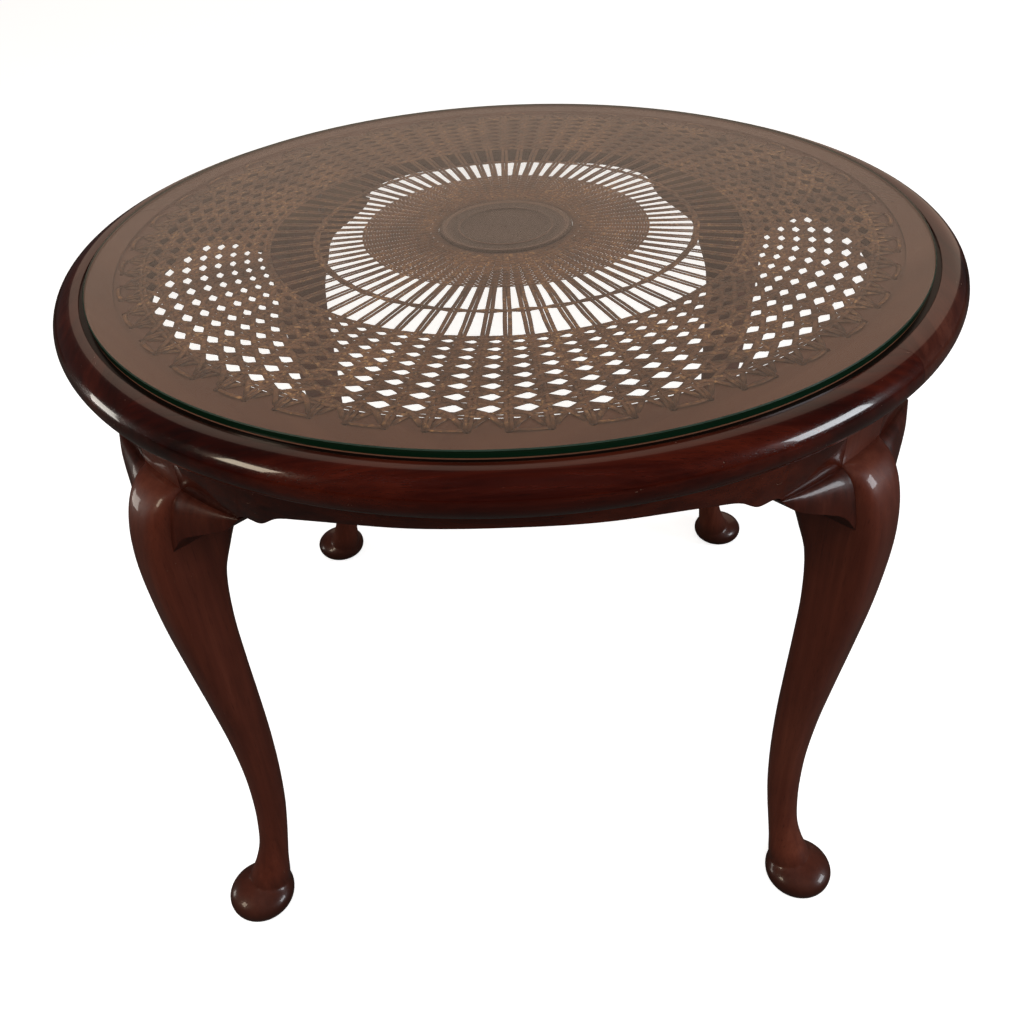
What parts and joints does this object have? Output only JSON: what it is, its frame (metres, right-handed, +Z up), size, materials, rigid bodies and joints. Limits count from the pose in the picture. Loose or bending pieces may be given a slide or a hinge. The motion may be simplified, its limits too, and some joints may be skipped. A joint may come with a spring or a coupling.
{
  "type": "coffee table",
  "caption": "Round mahogany coffee table on cabriole legs with pad feet, a hand-caned panel woven round a turned boss, and a loose round glass top set in the rim.",
  "frame": {"origin": "floor level, under the centre of the round top", "axes": "+Z up; -Y is the front as pictured; the legs stand on the diagonals"},
  "size_m": [0.6, 0.6, 0.467],
  "materials": {
    "table_glass": "clear float glass with a dark green ground edge",
    "mahogany_moulding": "dark French-polished mahogany, high gloss",
    "mahogany_frame": "polished mahogany seen through glass",
    "mahogany_apron": "dark French-polished mahogany, high gloss",
    "mahogany_leg": "dark French-polished mahogany, high gloss",
    "mahogany_ear": "dark French-polished mahogany, high gloss",
    "mahogany_boss": "turned mahogany, polished",
    "secondary_wood": "plain unpolished hardwood",
    "cane": "aged split cane, brown with golden wear",
    "screw_steel": "dull steel wood screws"
  },
  "bodies": {
    "table": {"rim_moulding_1": "mahogany_moulding", "rim_moulding_2": "mahogany_moulding", "rim_moulding_3": "mahogany_moulding", "rim_moulding_4": "mahogany_moulding", "cane_frame_1": "mahogany_frame", "cane_frame_2": "mahogany_frame", "cane_frame_3": "mahogany_frame", "cane_frame_4": "mahogany_frame", "frame_tongues": "secondary_wood", "cane_pegs": "secondary_wood", "cane_six_way_field": "cane", "cane_spokes": "cane", "cane_binder_ring": "cane", "cane_centre_weave": "cane", "boss_face": "mahogany_boss", "boss_cap": "mahogany_boss", "boss_screw": "screw_steel", "apron_rail_right": "mahogany_apron", "apron_rail_back": "mahogany_apron", "apron_rail_left": "mahogany_apron", "apron_rail_front": "mahogany_apron", "leg_front_right": "mahogany_leg", "ear_block_front_right_a": "mahogany_ear", "ear_block_front_right_b": "mahogany_ear", "corner_block_front_right": "secondary_wood", "leg_back_right": "mahogany_leg", "ear_block_back_right_a": "mahogany_ear", "ear_block_back_right_b": "mahogany_ear", "corner_block_back_right": "secondary_wood", "leg_back_left": "mahogany_leg", "ear_block_back_left_a": "mahogany_ear", "ear_block_back_left_b": "mahogany_ear", "corner_block_back_left": "secondary_wood", "leg_front_left": "mahogany_leg", "ear_block_front_left_a": "mahogany_ear", "ear_block_front_left_b": "mahogany_ear", "corner_block_front_left": "secondary_wood", "corner_block_screws": "screw_steel", "rim_screws": "screw_steel"},
    "glass": {"glass_top": "table_glass"}
  },
  "joints": [
    {"name": "glass_lift", "type": "slide", "parent": "table", "child": "glass", "axis": [0, 0, 1], "range_m": [0, 0.08]}
  ]
}
